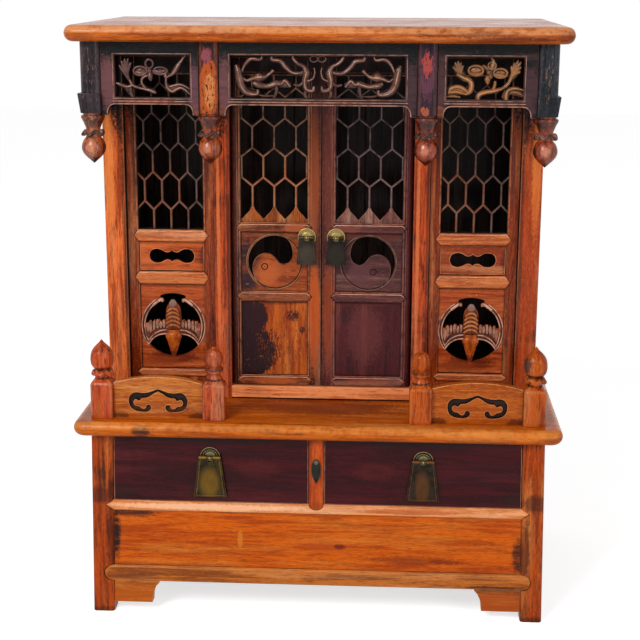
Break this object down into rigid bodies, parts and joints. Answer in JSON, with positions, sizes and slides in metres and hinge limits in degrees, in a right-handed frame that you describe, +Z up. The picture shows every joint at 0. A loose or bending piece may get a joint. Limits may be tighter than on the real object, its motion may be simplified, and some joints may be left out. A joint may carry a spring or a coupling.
{
  "type": "chinese ancestor shrine",
  "caption": "Wooden ancestor shrine: a base with drawers, a cabinet with lattice doors between pierced side bays, and a porch of hanging posts under a wide top board.",
  "frame": {"origin": "on the floor, under the middle of the table board and top board", "axes": "+Z up, +X to the right as seen from the front, -Y is the front with the doors and drawers"},
  "size_m": [0.818, 0.475, 1],
  "materials": {
    "lacquer_orange": "worn gloss lacquer",
    "lacquer_red_brown": "worn gloss lacquer",
    "lacquer_maroon": "worn satin lacquer",
    "lacquer_black": "worn satin lacquer",
    "bare_wood": "unfinished",
    "pale_brass": "aged",
    "dark_brass": "dark patina",
    "iron": "forged, dark"
  },
  "bodies": {
    "carcass": {"base_leg_front_left": "lacquer_orange", "base_leg_front_right": "lacquer_orange", "base_leg_back_left": "lacquer_orange", "base_leg_back_right": "lacquer_orange", "drawer_rail": "lacquer_orange", "drawer_divider": "lacquer_orange", "base_front_panel": "lacquer_orange", "base_bottom_rail": "lacquer_orange", "table_board": "lacquer_orange", "top_board": "lacquer_orange", "sill_rail": "lacquer_orange", "cabinet_post_front_left": "lacquer_orange", "cabinet_post_front_right": "lacquer_orange", "cabinet_post_back_left": "lacquer_orange", "cabinet_post_back_right": "lacquer_orange", "cabinet_post_inner_left": "lacquer_orange", "cabinet_post_inner_right": "lacquer_orange", "hanging_post_inner_left": "lacquer_orange", "hanging_post_inner_right": "lacquer_orange", "balustrade_left": "lacquer_orange", "balustrade_right": "lacquer_orange", "base_side_left": "lacquer_red_brown", "base_side_right": "lacquer_red_brown", "cabinet_side_left": "lacquer_red_brown", "cabinet_side_right": "lacquer_red_brown", "bay_frame_left": "lacquer_red_brown", "bay_frame_right": "lacquer_red_brown", "bay_bat_panel_left": "lacquer_red_brown", "bay_bat_panel_right": "lacquer_red_brown", "newel_outer_left": "lacquer_red_brown", "newel_outer_right": "lacquer_red_brown", "newel_inner_left": "lacquer_red_brown", "newel_inner_right": "lacquer_red_brown", "head_rail": "lacquer_black", "hanging_post_outer_left": "lacquer_black", "hanging_post_outer_right": "lacquer_black", "frieze_centre": "lacquer_black", "frieze_left": "lacquer_black", "frieze_right": "lacquer_black", "frieze_side_left": "lacquer_black", "frieze_side_right": "lacquer_black", "drawer_shelf": "bare_wood", "base_back": "bare_wood", "cabinet_back": "bare_wood"},
    "drawer_left": {"drawer_left": "lacquer_maroon", "drawer_plate_left": "pale_brass"},
    "drawer_right": {"drawer_right": "lacquer_maroon", "drawer_plate_right": "pale_brass"},
    "drawer_pull_left": {"drawer_pull_left": "dark_brass"},
    "drawer_pull_right": {"drawer_pull_right": "dark_brass"},
    "drawer_catch": {"drawer_catch": "iron"},
    "door_left": {"door_left": "lacquer_red_brown", "door_taiji_panel_left": "lacquer_red_brown", "door_plate_left": "pale_brass"},
    "door_right": {"door_right": "lacquer_maroon", "door_taiji_panel_right": "lacquer_maroon", "door_plate_right": "pale_brass"},
    "door_pull_left": {"door_pull_left": "dark_brass"},
    "door_pull_right": {"door_pull_right": "dark_brass"}
  },
  "joints": [
    {"name": "door_left_hinge", "type": "hinge", "parent": "carcass", "child": "door_left", "pos_m": [-0.146, -0.0645, 0.66], "axis": [0, 0, 1], "range_deg": [0, 90]},
    {"name": "door_right_hinge", "type": "hinge", "parent": "carcass", "child": "door_right", "pos_m": [0.146, -0.0645, 0.66], "axis": [0, 0, -1], "range_deg": [0, 90]},
    {"name": "drawer_left_slide", "type": "slide", "parent": "carcass", "child": "drawer_left", "axis": [0, -1, 0], "range_m": [0, 0.28]},
    {"name": "drawer_right_slide", "type": "slide", "parent": "carcass", "child": "drawer_right", "axis": [0, -1, 0], "range_m": [0, 0.28]},
    {"name": "door_pull_left_hinge", "type": "hinge", "parent": "door_left", "child": "door_pull_left", "pos_m": [-0.025, -0.0833, 0.64], "axis": [-1, 0, 0], "range_deg": [0, 100]},
    {"name": "door_pull_right_hinge", "type": "hinge", "parent": "door_right", "child": "door_pull_right", "pos_m": [0.025, -0.0833, 0.64], "axis": [-1, 0, 0], "range_deg": [0, 100]},
    {"name": "drawer_pull_left_hinge", "type": "hinge", "parent": "drawer_left", "child": "drawer_pull_left", "pos_m": [-0.17944, -0.2188, 0.287], "axis": [-1, 0, 0], "range_deg": [0, 100]},
    {"name": "drawer_pull_right_hinge", "type": "hinge", "parent": "drawer_right", "child": "drawer_pull_right", "pos_m": [0.17944, -0.2188, 0.287], "axis": [-1, 0, 0], "range_deg": [0, 100]},
    {"name": "drawer_catch_hinge", "type": "hinge", "parent": "carcass", "child": "drawer_catch", "pos_m": [0, -0.2155, 0.282], "axis": [0, 1, 0], "range_deg": [-90, 0]}
  ]
}
